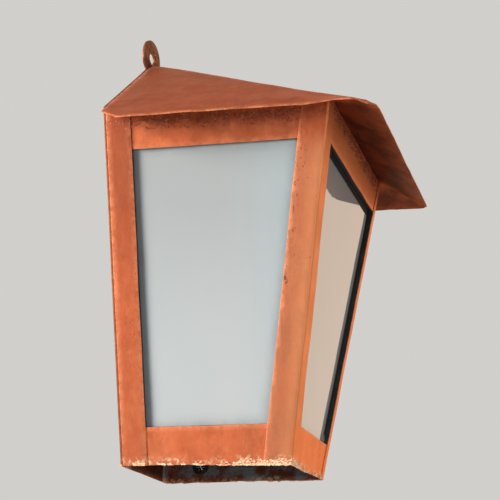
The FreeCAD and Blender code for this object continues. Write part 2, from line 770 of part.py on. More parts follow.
def make_nut(axis):
    body = new_body("lock_nut")
    sketch = new_sketch(body, "XY_Plane", "nut_hexagon", "Size.bracket_thick")
    half = "Size.nut_flats / 2"
    point = "Size.nut_flats / sqrt(3)"
    add_loop(
        sketch,
        [
            (point, "0"),
            (f"{point} / 2", half),
            (f"-{point} / 2", half),
            (f"-{point}", "0"),
            (f"-{point} / 2", f"-{half}"),
            (f"{point} / 2", f"-{half}"),
        ],
    )
    add_circle(sketch, "0", "0", "Size.nipple_diameter + 2 * Size.fit_gap")
    pad(body, sketch, "Size.nut_thick")
    body.Placement = axis


def make_bulb(axis):
    """Sealed tubular bulb in one piece: contact tip, screw cap, collar and a straight glass."""
    tip = "(Size.holder_floor + Size.contact_thick)"
    cap = "Size.cap_diameter / 2"
    glass = "Size.bulb_diameter / 2"
    collar = f"({tip} + Size.cap_length)"
    end = f"({tip} + Size.bulb_length)"
    turned_pin(
        "bulb",
        [
            ("0", f"-{tip}"),
            ("Size.tip_diameter / 2", f"-{tip}"),
            (cap, f"-{tip} - Size.tip_slope"),
            (cap, f"-{collar}"),
            (glass, f"-{collar} - Size.bulb_collar"),
            (glass, f"-{end} + Size.bulb_bevel"),
            (f"{glass} - Size.bulb_bevel", f"-{end}"),
            ("0", f"-{end}"),
        ],
        axis,
    )


def make_terminals():
    """Terminal block on the back plate, its clamp screws and fixing screw, and the earth screw."""
    face = "(Size.plate_thick + Size.block_depth)"
    level = "Size.block_level"
    body = new_body("terminal_block")
    box = rectangle(
        "-Size.block_width / 2",
        "Size.block_width / 2",
        f"{level} - Size.block_height / 2",
        f"{level} + Size.block_height / 2",
    )
    front = loop_sketch(body, "XZ_Plane", "block_face", [box], "Size.plate_thick")
    pad(body, front, "Size.block_depth")
    columns = ("-Size.way_spacing", "Size.way_spacing")
    half_way = "Size.block_way / 2"
    way_y = "-(Size.plate_thick + Size.way_depth)"
    squares = [
        rectangle(f"{x} - {half_way}", f"{x} + {half_way}", f"{way_y} - {half_way}", f"{way_y} + {half_way}")
        for x in columns
    ]
    cut(body, loop_sketch(body, "XY_Plane", "wire_ways", squares))
    clamp_holes = new_sketch(body, "XZ_Plane", "clamp_holes", face)
    rows = (f"{level} - Size.clamp_spacing / 2", f"{level} + Size.clamp_spacing / 2")
    for x in columns:
        for z in rows:
            add_circle(clamp_holes, x, z, "Size.clamp_diameter + 2 * Size.fit_gap")
    clamp_depth = "(Size.block_depth - Size.way_depth)"
    cut(body, clamp_holes, clamp_depth)
    fixing = new_sketch(body, "XZ_Plane", "block_fixing_hole")
    add_circle(fixing, "0", level, "Size.fixing_shank + 2 * Size.fit_gap")
    cut(body, fixing)
    sink = new_sketch(body, "XZ_Plane", "fixing_sink", face)
    add_circle(sink, "0", level, "Size.fixing_head + 2 * Size.fit_gap")
    cut(body, sink, "Size.fixing_head_thick")

    clamps = []
    for side in (-1, 1):
        for row_side in (-1, 1):
            place = into_wall(
                side * size("way_spacing"),
                -size("plate_thick") - size("block_depth"),
                size("block_level") + row_side * size("clamp_spacing") / 2,
            )
            corners = rectangle("0", "Size.clamp_diameter / 2", "Size.clamp_recess", clamp_depth)
            clamps.append(turned_pin(f"clamp_{len(clamps) + 1}", corners, place, shared=True))
    group("terminal_screws", clamps)

    seat = size("plate_thick") + size("block_depth") - size("fixing_head_thick")
    headed_pin(
        "block_screw",
        "Size.fixing_head",
        "Size.fixing_head_thick",
        "Size.fixing_shank",
        "Size.plate_thick + Size.block_depth - Size.fixing_head_thick - Size.shank_recess",
        into_wall(0, -seat, size("block_level")),
    )
    earth_seat = size("plate_thick") + size("washer_thick")
    headed_pin(
        "earth_screw",
        "Size.earth_head",
        "Size.earth_head_thick",
        "Size.earth_shank",
        "Size.plate_thick + Size.washer_thick - Size.shank_recess",
        into_wall(size("earth_offset"), -earth_seat, size("block_level")),
    )
    hole = "(Size.earth_shank / 2 + Size.fit_gap)"
    turned_pin(
        "earth_washer",
        rectangle(hole, "Size.washer_diameter / 2", "0", "Size.washer_thick"),
        into_wall(size("earth_offset"), -earth_seat, size("block_level")),
    )


def make_grommet(wall):
    """Rubber grommet in the right bottom rail: a neck in the hole with a flange on each side."""
    neck = "Size.grommet_neck / 2"
    flange = "Size.grommet_flange / 2"
    hole = "Size.grommet_bore / 2"
    outside = "-Size.sheet_thick"
    inside = f"-{RAIL_BACK}"
    corners = [
        (hole, f"{inside} - Size.grommet_lip"),
        (flange, f"{inside} - Size.grommet_lip"),
        (flange, inside),
        (neck, inside),
        (neck, outside),
        (flange, outside),
        (flange, f"{outside} + Size.grommet_lip"),
        (hole, f"{outside} + Size.grommet_lip"),
    ]
    centre = FreeCAD.Vector(wall.hand * size("grommet_back"), size("grommet_level"), 0)
    spot = FreeCAD.Placement(centre, FreeCAD.Rotation())
    turned_pin("cable_grommet", corners, wall.placement.multiply(spot))


walls = make_walls()
make_back_plate()
make_roof()
for hand, side in ((-1, "left"), (1, "right")):
    make_post(f"back_{side}_post", hand, at_front=False)
    make_post(f"front_{side}_post", hand, at_front=True, front_leg=FRONT_LEGS[side])
for wall in walls:
    make_rails(wall)
    make_seal(wall)
    make_pane(wall)
    make_clips(wall)
make_grommet(walls[1])
make_bracket()
make_rivets()
make_lamp()
make_terminals()
doc.recompute()

for thing in doc.Objects:
    if "Invalid" in thing.State or "Error" in thing.State:
        raise RuntimeError(f"{thing.Name} failed: {thing.State}")
for thing in sub_parts:
    if thing.Shape.isNull() or not thing.Shape.isValid():
        raise RuntimeError(f"{thing.Label} has no valid shape")

os.makedirs("parts", exist_ok=True)
for thing in sub_parts:
    thing.Shape.exportStep(f"parts/{thing.Label}.step")
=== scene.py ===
import json
import math
import random

import bmesh
import bpy
import numpy as np
from mathutils import Matrix, Vector, noise


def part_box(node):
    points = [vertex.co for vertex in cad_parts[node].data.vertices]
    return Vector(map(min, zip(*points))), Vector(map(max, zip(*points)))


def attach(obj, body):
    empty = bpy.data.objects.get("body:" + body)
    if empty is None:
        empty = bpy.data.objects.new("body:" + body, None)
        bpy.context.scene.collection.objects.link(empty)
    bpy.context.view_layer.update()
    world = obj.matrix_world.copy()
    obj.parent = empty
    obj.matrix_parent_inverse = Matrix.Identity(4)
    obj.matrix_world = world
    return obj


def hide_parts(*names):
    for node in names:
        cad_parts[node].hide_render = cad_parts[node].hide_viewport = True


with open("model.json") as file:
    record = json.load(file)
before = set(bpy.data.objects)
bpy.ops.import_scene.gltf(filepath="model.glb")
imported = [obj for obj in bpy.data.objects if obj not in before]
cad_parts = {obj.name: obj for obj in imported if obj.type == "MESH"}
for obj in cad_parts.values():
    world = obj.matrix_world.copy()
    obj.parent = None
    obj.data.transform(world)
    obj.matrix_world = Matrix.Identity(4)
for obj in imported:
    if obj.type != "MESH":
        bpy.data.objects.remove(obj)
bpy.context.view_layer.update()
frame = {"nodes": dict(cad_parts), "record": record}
nodes = frame["nodes"]

# Vector noise differs from run to run unless its seed is set
NOISE_SEED = 17
noise.seed_set(NOISE_SEED)

# Metres throughout: the wall is the plane y = 0, the lantern stands out towards -Y, +Z is up
MM = 0.001
WALLS = ("left", "right", "front")
POSTS = tuple(f"{end}_{side}_post" for end in ("back", "front") for side in ("left", "right"))
RAILS = tuple(f"{wall}_{place}_rail" for wall in WALLS for place in ("top", "bottom"))


def foot_of(node):
    """Smallest and largest x, y and z of a node's lower end."""
    ends = [v.co for v in nodes[node].data.vertices if v.co.z < 1 * MM]
    return [Vector([pick(values) for values in zip(*ends)]) for pick in (min, max)]


# Levels and widths taken from the frame
WALL_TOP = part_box("back_left_post")[1].z
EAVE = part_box("roof")[0].z
ROOF_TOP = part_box("roof")[1].z
ROOF_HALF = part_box("roof")[1].x
ROOF_REACH = -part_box("roof")[0].y
TOP_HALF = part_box("back_right_post")[1].x
TOP_DEPTH = -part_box("front_left_post")[0].y
RAIL_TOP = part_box("left_bottom_rail")[1].z
near_foot = foot_of("front_left_post")
far_foot = foot_of("front_right_post")
FOOT_HALF = -near_foot[0].x
FOOT_DEPTH = -near_foot[0].y
POST_LEG = -foot_of("back_left_post")[0].y
NARROW_LEG = far_foot[1].x - far_foot[0].x
PLATE = -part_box("back_left_post")[1].y
WALL_SLANT = (TOP_DEPTH - FOOT_DEPTH) / WALL_TOP
WALL_WIDENING = (TOP_HALF - FOOT_HALF) / WALL_TOP
MIDDLE_Y = (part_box("bulb")[0].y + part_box("bulb")[1].y) / 2

# The hanging eye: its neck starts a lift below the middle of the hole and twists over its own height
EYE = next(mount for mount in frame["record"]["mounts"] if mount["name"] == "hanging_eye")
EYE_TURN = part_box("back_plate")[1].y
EYE_NECK = 3.5 * MM
EYE_LIFT = 4.5 * MM
NECK_FOOT = EYE["pos_m"][2] - EYE_LIFT

# How far the hand-worked sheets are out of true
SLOW_DENT = 0.35 * MM
QUICK_DENT = 0.10 * MM
FOOT_DROOP = 2.2 * MM
FOOT_RAGGED = 0.35 * MM
HIP_SAG = 1.8 * MM
EAVE_WAVE = 0.5 * MM
EAVE_RAGGED = 0.3 * MM
CORNER_LIFT = 2.8 * MM
CORNER_BLUNT = 3 * MM

# Grid of cuts, rounding of edges, turns in degrees and reach of the fading layers in the worked copies
SHEET_GRID = 4 * MM
PANE_GRID = 5 * MM
FRAME_BEVEL = 0.2 * MM
ROOF_BEVEL = 0.25 * MM
PLATE_BEVEL = 0.15 * MM
PANE_BEVEL = 0.4 * MM
FRONT_FOLD = 1.8 * MM
BACK_FOLD = 0.5 * MM
SHARP_TURN = 25
FOLD_TURN = 40
WEAR_REACH = 2 * MM
UNDER_RIM_REACH = 16 * MM
RIM_REACH = 14 * MM


class Shader:
    """One material with short ways to add nodes and link them."""

    def __init__(self, name):
        self.material = bpy.data.materials.new(name)
        self.material.use_nodes = True
        self.tree = self.material.node_tree
        self.tree.nodes.clear()
        output = self.tree.nodes.new("ShaderNodeOutputMaterial")
        self.surface = self.tree.nodes.new("ShaderNodeBsdfPrincipled")
        self.tree.links.new(self.surface.outputs["BSDF"], output.inputs["Surface"])
        self.place = self.node("TexCoord").outputs["Object"]

    def node(self, kind, inputs=(), **settings):
        added = self.tree.nodes.new("ShaderNode" + kind)
        for key, value in settings.items():
            setattr(added, key, value)
        for key, value in dict(inputs).items():
            self.feed(added.inputs[key], value)
        return added

    def feed(self, socket, value):
        """Link a socket to another one, or set its number."""
        if isinstance(value, bpy.types.NodeSocket):
            self.tree.links.new(value, socket)
        else:
            socket.default_value = value

    def set(self, **values):
        """Set or link sockets of the main shader; spaces in their names are underscores here."""
        for key, value in values.items():
            self.feed(self.surface.inputs[key.replace("_", " ")], value)

    def noise(self, scale, detail=4.0, roughness=0.55, stretch=None, distortion=0.0):
        where = self.place
        if stretch:
            where = self.node("Mapping", {"Vector": where, "Scale": stretch}).outputs["Vector"]
        inputs = {
            "Vector": where,
            "Scale": scale,
            "Detail": detail,
            "Roughness": roughness,
            "Distortion": distortion,
        }
        return self.node("TexNoise", inputs).outputs["Fac"]

    def cells(self, scale):
        """Distance to the nearest of many scattered points."""
        return self.node("TexVoronoi", {"Vector": self.place, "Scale": scale}).outputs["Distance"]

    def ramp(self, value, low, high, at_low=0.0, at_high=1.0):
        """Smooth step from one number to another as value goes from low to high."""
        inputs = {
            "Value": value,
            "From Min": low,
            "From Max": high,
            "To Min": at_low,
            "To Max": at_high,
        }
        return self.node("MapRange", inputs, interpolation_type="SMOOTHSTEP").outputs["Result"]

    def math(self, operation, first, second):
        added = self.node("Math", operation=operation)
        self.feed(added.inputs[0], first)
        self.feed(added.inputs[1], second)
        return added.outputs[0]

    def plus(self, first, second):
        return self.math("ADD", first, second)

    def minus(self, first, second):
        return self.math("SUBTRACT", first, second)

    def times(self, first, second):
        return self.math("MULTIPLY", first, second)

    def mix(self, share, first, second, blend="MIX"):
        """First colour with a share of the second laid over it."""
        added = self.node("Mix", data_type="RGBA", blend_type=blend)
        for index, value in ((0, share), (6, first), (7, second)):
            self.feed(added.inputs[index], value)
        return added.outputs[2]

    def attribute(self, name):
        return self.node("Attribute", attribute_name=name).outputs["Fac"]

    def spot(self, axis):
        """One coordinate of the place, in metres."""
        return self.node("SeparateXYZ", {"Vector": self.place}).outputs[axis]

    def height(self):
        return self.spot("Z")

    def normal(self, axis):
        """One part of the outside normal."""
        outward = self.node("NewGeometry").outputs["Normal"]
        return self.node("SeparateXYZ", {"Vector": outward}).outputs[axis]

    def sideways(self):
        """How far a face is turned to the left or the right."""
        return self.math("ABSOLUTE", self.normal("X"), 0)

    def bump(self, height, strength, distance):
        inputs = {"Height": height, "Strength": strength, "Distance": distance}
        self.set(Normal=self.node("Bump", inputs).outputs["Normal"])


def rgb(red, green, blue):
    """Linear colour from the usual 0 to 255 numbers."""
    def linear(c):
        c = c / 255
        return c / 12.92 if c <= 0.04045 else ((c + 0.055) / 1.055) ** 2.4
    return (linear(red), linear(green), linear(blue), 1.0)


def copper(name, light, middle, brown, stained, scuffed):
    """Aged copper with blotches, brown stains, faint streaks and scuffs; returns what is added to later."""
    scuff_tone = rgb(236, 150, 108)
    shader = Shader(name)
    blotch = shader.ramp(shader.noise(32, 5, 0.6), 0.36, 0.66)
    colour = shader.mix(blotch, middle, light)
    streak = shader.ramp(shader.noise(75, 3, 0.6, stretch=(1, 1, 0.12)), 0.3, 0.75)
    colour = shader.mix(shader.times(streak, 0.2), colour, brown, "MULTIPLY")
    stain = shader.ramp(shader.noise(17, 6, 0.68, distortion=0.4), 0.46, 0.7)
    stain = shader.times(stain, stained)
    colour = shader.mix(stain, colour, brown)
    mottle = shader.ramp(shader.noise(120, 6, 0.7, stretch=(1, 1, 0.6)), 0.42, 0.64, 0.0, 0.3)
    colour = shader.mix(mottle, colour, brown)
    scuff = shader.ramp(shader.noise(260, 6, 0.75, stretch=(1, 1, 0.35)), 0.52, 0.72)
    colour = shader.mix(shader.times(scuff, scuffed), colour, scuff_tone)
    rough = shader.plus(shader.ramp(blotch, 0, 1, 0.52, 0.44), shader.times(stain, 0.15))
    shader.set(Roughness=rough, Metallic=0.6)
    shader.set(Specular_IOR_Level=0.15, Specular_Tint=(1.0, 0.58, 0.4, 1))
    grain = shader.plus(shader.noise(900, 3, 0.6), shader.times(streak, 0.6))
    dents = shader.plus(shader.times(shader.noise(60, 3, 0.5), 2.5), grain)
    return shader, colour, dents


def finish_copper(shader, colour, dents, wear):
    """Paler worn edges and scattered dark pits on top of everything else."""
    rubbed_tone = rgb(232, 148, 106)
    pit_tone = rgb(70, 40, 28)
    rub = shader.ramp(shader.noise(210, 5, 0.7), 0.36, 0.62, 0.1, 0.65)
    colour = shader.mix(shader.times(wear, rub), colour, rubbed_tone)
    pits = shader.ramp(shader.cells(310), 0.22, 0.1)
    pits = shader.times(pits, shader.ramp(shader.noise(24, 3, 0.5), 0.57, 0.66))
    colour = shader.mix(shader.times(pits, 0.75), colour, pit_tone)
    shader.set(Base_Color=colour)
    shader.bump(shader.minus(dents, shader.times(pits, 2.0)), 0.35, 0.25 * MM)
    return shader.material


def rear_darkening(shader, colour):
    """Back posts darker, more so towards the top."""
    darker_tone = rgb(142, 70, 47)
    thin_level = 90 * MM
    thick_level = 205 * MM
    rear = shader.ramp(shader.spot("Y"), -POST_LEG - 5 * MM, -POST_LEG, 0, 0.68)
    darkening = shader.times(rear, shader.ramp(shader.height(), thin_level, thick_level, 0.25, 1.0))
    return shader.mix(darkening, colour, darker_tone)


def front_post_sides(shader, colour):
    """Side legs of the front posts: tan, with a painted highlight towards the fold and dark flecks along
    the rear edge.
    """
    tan_tone = rgb(190, 132, 96)
    fold_highlight_tone = rgb(236, 156, 106)
    fleck_tone = rgb(96, 58, 40)
    fold_line = -FOOT_DEPTH
    rear_edge = -FOOT_DEPTH + POST_LEG
    clean_level = 95 * MM
    fleck_level = 125 * MM
    reach = shader.plus(shader.spot("Y"), shader.times(shader.height(), WALL_SLANT))
    below_eaves_band = shader.ramp(shader.height(), WALL_TOP - 20 * MM, WALL_TOP - 40 * MM)
    leg = shader.ramp(reach, rear_edge + 1 * MM, rear_edge - 1 * MM, 0, 0.4)
    leg = shader.times(leg, below_eaves_band)
    colour = shader.mix(leg, colour, tan_tone)
    # Painted highlight: the side leg lighter towards the rounded fold
    fold = shader.ramp(reach, fold_line + 13 * MM, fold_line + 2 * MM, 0, 0.32)
    colour = shader.mix(shader.times(fold, below_eaves_band), colour, fold_highlight_tone)
    edge = shader.ramp(reach, rear_edge - 9 * MM, rear_edge - 2 * MM)
    edge = shader.times(edge, shader.times(leg, 2.2))
    edge = shader.times(edge, shader.ramp(shader.height(), clean_level, fleck_level))
    fleck = shader.ramp(shader.noise(420, 4, 0.7, stretch=(1, 1, 0.5)), 0.57, 0.63)
    return shader.mix(shader.times(edge, fleck), colour, fleck_tone)


def painted_front_light(shader, colour):
    """Painted light: faces at the front lighter, and lighter orange along the bottom rail."""
    front_light_tone = rgb(250, 156, 96)
    low_front_light_tone = rgb(255, 138, 64)
    # Painted light on faces turned to the front, strongest along the bottom rail
    front = shader.ramp(shader.normal("Y"), -0.15, -0.75)
    colour = shader.mix(shader.times(front, 0.65), colour, front_light_tone)
    low = shader.ramp(shader.height(), RAIL_TOP + 3 * MM, RAIL_TOP - 3 * MM, 0, 0.5)
    return shader.mix(shader.times(front, low), colour, low_front_light_tone)


def eaves_grime_and_shade(shader, colour):
    """Rough brown grime and painted shade up under the eaves, reaching lower on the sides."""
    grime_and_shade_tone = rgb(160, 72, 48)
    side = shader.ramp(shader.sideways(), 0.4, 0.6)
    level = shader.plus(shader.height(), shader.times(side, 7 * MM))
    # Grime with painted shade, where the eaves shade the top of the walls
    under_eave = shader.ramp(level, WALL_TOP - 12 * MM, WALL_TOP - 1 * MM)
    crust = shader.ramp(shader.noise(170, 7, 0.8), 0.4, 0.6, 0.1, 0.75)
    return shader.mix(shader.times(under_eave, crust), colour, grime_and_shade_tone)


def tinned_lining(shader, colour):
    """Inside faces: grey tin worn through to brown copper."""
    copper_tone = rgb(140, 78, 60)
    tin_tone = rgb(152, 158, 160)
    tinned = shader.ramp(shader.noise(38, 5, 0.65), 0.48, 0.62)
    lining = shader.mix(tinned, copper_tone, tin_tone)
    return shader.mix(shader.attribute("inside"), colour, lining)


def bare_foot_glint(shader, colour):
    """Patches of bare metal along the lower edge, painted as bright as their glint."""
    bare_glint_tone = rgb(255, 226, 182)
    # Bare metal, painted as bright as its glint
    low = shader.ramp(shader.height(), 7 * MM, 1 * MM)
    speck = shader.ramp(shader.noise(360, 5, 0.75), 0.48, 0.57)
    patch = shader.ramp(shader.noise(70, 3, 0.6), 0.42, 0.56)
    return shader.mix(shader.times(shader.times(low, speck), patch), colour, bare_glint_tone)


def frame_copper():
    """Posts and rails: layers of ageing and of painted light over the copper, one after another."""
    shader, colour, dents = copper(
        "frame_copper_look", rgb(227, 127, 84), rgb(208, 108, 69), rgb(154, 82, 53), 0.6, 0.28
    )
    for layer in (rear_darkening, front_post_sides, painted_front_light, eaves_grime_and_shade, tinned_lining, bare_foot_glint):
        colour = layer(shader, colour)
    return finish_copper(shader, colour, dents, shader.attribute("wear"))


def roof_copper():
    """Roof: brown on top; underneath, patchy painted shade, orange-brown towards the rim."""
    peak_tone = rgb(132, 84, 64)
    underside_shade_tone = rgb(62, 27, 22)
    light_underside_shade_tone = rgb(132, 64, 44)
    rim_tone = rgb(196, 104, 62)
    shader, colour, dents = copper(
        "roof_copper_look", rgb(180, 90, 58), rgb(167, 80, 50), rgb(130, 70, 49), 0.5, 0.15
    )
    rise = shader.ramp(shader.height(), EAVE, ROOF_TOP)
    colour = shader.mix(shader.times(rise, 0.4), colour, peak_tone)
    # Painted shade on the roof's underside, patchy, orange-brown towards the rim and less so under the
    # right slope
    below = shader.ramp(shader.normal("Z"), -0.15, -0.45)
    shade_patches = shader.ramp(shader.noise(22, 5, 0.6, distortion=0.6), 0.4, 0.7)
    dark = shader.mix(shade_patches, underside_shade_tone, light_underside_shade_tone)
    rim_share = shader.ramp(shader.noise(60, 5, 0.65), 0.35, 0.65, 0.35, 1.0)
    rim_share = shader.times(rim_share, shader.ramp(shader.normal("X"), -0.2, -0.5, 1.0, 0.5))
    dark = shader.mix(shader.times(shader.attribute("near_edge"), rim_share), dark, rim_tone)
    colour = shader.mix(below, colour, dark)
    upper = shader.minus(1.0, below)
    return finish_copper(shader, colour, dents, shader.times(shader.attribute("wear"), upper))


def plate_copper():
    """Back plate: the darkest sheet, with paler narrow sides and paler patches on the head of its eye."""
    side_tone = rgb(156, 98, 70)
    head_tone = rgb(178, 122, 90)
    shader, colour, dents = copper(
        "plate_copper_look", rgb(104, 58, 42), rgb(86, 46, 35), rgb(60, 37, 29), 0.8, 0.05
    )
    narrow = shader.ramp(shader.sideways(), 0.5, 0.8)
    flank = shader.ramp(shader.height(), ROOF_TOP - 20 * MM, EAVE, 0.2, 0.75)
    colour = shader.mix(shader.times(narrow, flank), colour, side_tone)
    head = shader.ramp(shader.height(), ROOF_TOP, ROOF_TOP + 8 * MM)
    head = shader.times(head, shader.minus(1.0, narrow))
    patch = shader.ramp(shader.noise(90, 5, 0.7), 0.35, 0.6, 0.1, 0.5)
    colour = shader.mix(shader.times(head, patch), colour, head_tone)
    return finish_copper(shader, colour, dents, shader.times(shader.attribute("wear"), 0.3))


def crumb_look(name, common, odd, share_odd, metallic):
    """Crumbs of two tones, nearly one tone to a crumb."""
    blur = 0.02
    shader = Shader(name)
    pick = shader.node("NewGeometry").outputs["Random Per Island"]
    colour = shader.mix(shader.ramp(pick, 1 - share_odd, 1 - share_odd + blur), common, odd)
    mottle = shader.ramp(shader.noise(700, 3, 0.6), 0.3, 0.7, 0.0, 0.4)
    shader.set(Base_Color=shader.mix(mottle, colour, odd), Metallic=metallic)
    shader.set(Roughness=shader.ramp(mottle, 0, 0.4, 0.35, 0.55))
    shader.bump(shader.noise(1500, 3, 0.6), 0.3, 0.1 * MM)
    return shader.material


def sealant_and_painted_shade(shader):
    """Share of sealant and painted shade on the front pane: sealant in from its rim, widened by painted
    shade for the dark reflection of the seal and frame at the top and up its right side.
    """
    right_edge = FOOT_HALF - NARROW_LEG
    clean_level = 29 * MM
    smear_level = 34 * MM
    narrow_level = 130 * MM
    wide_level = 205 * MM
    ragged = shader.plus(shader.attribute("rim"), shader.times(shader.noise(120, 3, 0.6), 0.06))
    # Painted shade: the band widens towards the top, for the dark reflection of the rail
    top = shader.ramp(shader.height(), narrow_level, wide_level, 0, 0.26)
    rim_sealant_and_shade = shader.ramp(shader.plus(ragged, top), 0.33, 0.42)
    # Painted shade up the right side, for the dark reflection of the seal and post
    across = shader.minus(shader.spot("X"), shader.times(shader.height(), WALL_WIDENING))
    right_painted_shade = shader.ramp(across, right_edge - 11 * MM, right_edge - 5 * MM, 0, 0.95)
    smear_and_shade = shader.math("MAXIMUM", rim_sealant_and_shade, right_painted_shade)
    return shader.times(smear_and_shade, shader.ramp(shader.height(), clean_level, smear_level))


def opal_glass(name, black_bed):
    """Polished opal glass: painted shade towards the top and at the rear edge, dusty with painted shade
    towards the frame; black_bed adds a painted warm reflection and black sealant with painted shade.
    """
    white = (0.475, 0.505, 0.51, 1)
    cloud_tone = (0.52, 0.53, 0.525, 1)
    top_shade_tone = (0.33, 0.345, 0.345, 1)
    cool_tone = (0.4, 0.5, 0.51, 1)
    dust_and_shade_tone = (0.1, 0.13, 0.16, 1)
    shade_tone = (0.1, 0.12, 0.14, 1)
    painted_warm_tint = (0.95, 0.9, 0.87, 1)
    sealant_and_shade_tone = (0.012, 0.014, 0.015, 1)
    unshaded_level = 45 * MM
    top_shade_level = 220 * MM
    warm_depth = 75 * MM
    cool_depth = 125 * MM
    shader = Shader(name)
    cloud = shader.ramp(shader.noise(9, 3, 0.5, stretch=(1, 1, 0.3)), 0.3, 0.7)
    colour = shader.mix(cloud, white, cloud_tone)
    # Painted shade: the pane darker towards the top, under the eave
    top_shade = shader.ramp(shader.height(), unshaded_level, top_shade_level, 0, 0.75)
    colour = shader.mix(top_shade, colour, top_shade_tone)
    cool = shader.ramp(shader.spot("Y"), -warm_depth, -cool_depth, 0, 0.4)
    colour = shader.mix(cool, colour, cool_tone)
    patchy = shader.ramp(shader.noise(55, 5, 0.65), 0.3, 0.75, 0.35, 1.0)
    # Dust and painted shade along the frame, in patches
    dust_and_shade = shader.times(shader.attribute("rim"), patchy)
    colour = shader.mix(shader.times(dust_and_shade, 0.7), colour, dust_and_shade_tone)
    rear = shader.ramp(shader.spot("Y"), -POST_LEG - 7 * MM, -POST_LEG - 2 * MM)
    colour = shader.mix(shader.times(rear, 0.6), colour, shade_tone)
    gloss = shader.ramp(dust_and_shade, 0, 1, 0.03, 0.1)
    if black_bed:
        # Sealant and painted shade: black, rough and without sheen where they lie
        smear_and_shade = sealant_and_painted_shade(shader)
        # Painted reflection: a warm tint for the warm light the front pane reflects
        colour = shader.mix(1.0, colour, painted_warm_tint, "MULTIPLY")
        colour = shader.mix(smear_and_shade, colour, sealant_and_shade_tone)
        gloss = shader.plus(gloss, shader.times(smear_and_shade, 0.5))
        shader.set(Specular_IOR_Level=shader.ramp(smear_and_shade, 0, 1, 0.5, 0.015))
    shader.set(Base_Color=colour, Roughness=gloss, IOR=1.46)
    shader.bump(shader.noise(14, 2, 0.4), 0.02, 0.2 * MM)
    return shader.material


def plain(name, first, second, scale, roughness, metallic=0.0, grain=400, depth=0.05 * MM):
    """Two close tones in small patches, with a fine grain."""
    shader = Shader(name)
    patch = shader.ramp(shader.noise(scale, 5, 0.6), 0.35, 0.65)
    shader.set(Base_Color=shader.mix(patch, first, second), Metallic=metallic)
    shader.set(Roughness=shader.ramp(patch, 0, 1, roughness - 0.05, roughness + 0.08))
    shader.bump(shader.noise(grain, 4, 0.6), 0.4, depth)
    return shader.material


looks = {
    "frame_copper": frame_copper(),
    "roof_copper": roof_copper(),
    "plate_copper": plate_copper(),
    "opal_glass": opal_glass("opal_glass_look", False),
    "seal_black": plain(
        "seal_look", (0.012, 0.013, 0.015, 1), (0.03, 0.03, 0.032, 1), 120, 0.6, grain=500, depth=0.2 * MM
    ),
    "clip_steel": plain("clip_look", (0.16, 0.15, 0.145, 1), (0.33, 0.32, 0.31, 1), 90, 0.5, 0.8),
    "bracket_brass": plain("bracket_look", (0.46, 0.3, 0.11, 1), (0.58, 0.4, 0.16, 1), 40, 0.4, 0.9),
    "fitting_brass": plain("fitting_look", (0.5, 0.33, 0.12, 1), (0.62, 0.43, 0.18, 1), 70, 0.33, 0.9),
    "screw_steel": plain("screw_look", (0.4, 0.4, 0.41, 1), (0.55, 0.55, 0.55, 1), 120, 0.35, 0.9),
    "holder_porcelain": plain("porcelain_look", (0.72, 0.69, 0.62, 1), (0.78, 0.75, 0.68, 1), 18, 0.14),
    "block_ceramic": plain("block_look", (0.62, 0.58, 0.5, 1), (0.7, 0.66, 0.58, 1), 60, 0.55),
    "bulb_glass": plain("bulb_look", (0.78, 0.77, 0.73, 1), (0.82, 0.81, 0.78, 1), 25, 0.25),
    "grommet_rubber": plain("grommet_look", (0.012, 0.012, 0.012, 1), (0.022, 0.022, 0.022, 1), 150, 0.55),
}
slot_of = {part["node"]: part["material_slot"] for part in frame["record"]["subparts"]}
for name, node in nodes.items():
    node.data.materials.clear()
    node.data.materials.append(looks[slot_of[name]])


def eased(value, low, high):
    """Smooth step from 0 at low to 1 at high."""
    share = min(max((value - low) / (high - low), 0.0), 1.0)
    return share * share * (3 - 2 * share)


def line_distance(points, lines):
    """Distance of each point to the nearest of some straight lines with two ends."""
    nearest = np.full(len(points), np.inf)
    for start, end in lines:
        along = end - start
        share = np.clip((points - start) @ along / (along @ along), 0, 1)
        nearest = np.minimum(nearest, np.linalg.norm(points - start - share[:, None] * along, axis=1))
    return nearest


def hand_work(point):
    """How far the hand-worked sheet is out of true at a point; neighbours move together."""
    elsewhere = Vector((7, 3, 5))
    slow = noise.noise_vector(point * 26) * SLOW_DENT
    quick = noise.noise_vector(point * 95 + elsewhere) * QUICK_DENT
    shift = slow + quick
    # The back stays flat against the wall
    shift.y *= eased(-point.y, 2 * MM, 16 * MM)
    return shift


def looks_in(point, normal):
    """True for a face that is turned to the lantern's upright middle line."""
    inward = Vector((-point.x, MIDDLE_Y - point.y, 0))
    return inward.length > 0 and normal.dot(inward.normalized()) > 0.5


def hip_sag(point):
    """How far the roof sags along its left hip, out to the corner."""
    hip_width = 24 * MM
    left = eased(-point.x, 0, 40 * MM)
    off_hip = abs(point.x * ROOF_REACH - point.y * ROOF_HALF) / math.hypot(ROOF_HALF, ROOF_REACH)
    along = eased(-point.y / ROOF_REACH, 0.1, 0.7)
    return -HIP_SAG * left * along * (1 - eased(off_hip, 0, hip_width))


def wall_work(point):
    """Hand-worked wall sheet; the top follows the roof, the foot is uneven and droops at the front left."""
    droop_height = 24 * MM
    ragged_height = 4 * MM
    foot = 1 - eased(point.z, 0, droop_height)
    front = eased(-point.y, 20 * MM, FOOT_DEPTH)
    left = eased(-point.x, -FOOT_HALF, FOOT_HALF)
    droop = -FOOT_DROOP * foot * front * left
    ragged = noise.noise(point * 260) * FOOT_RAGGED * (1 - eased(point.z, 0, ragged_height))
    settle = hip_sag(point) * eased(point.z, WALL_TOP - 25 * MM, WALL_TOP - 5 * MM)
    return hand_work(point) + Vector((0, 0, droop + ragged + settle))


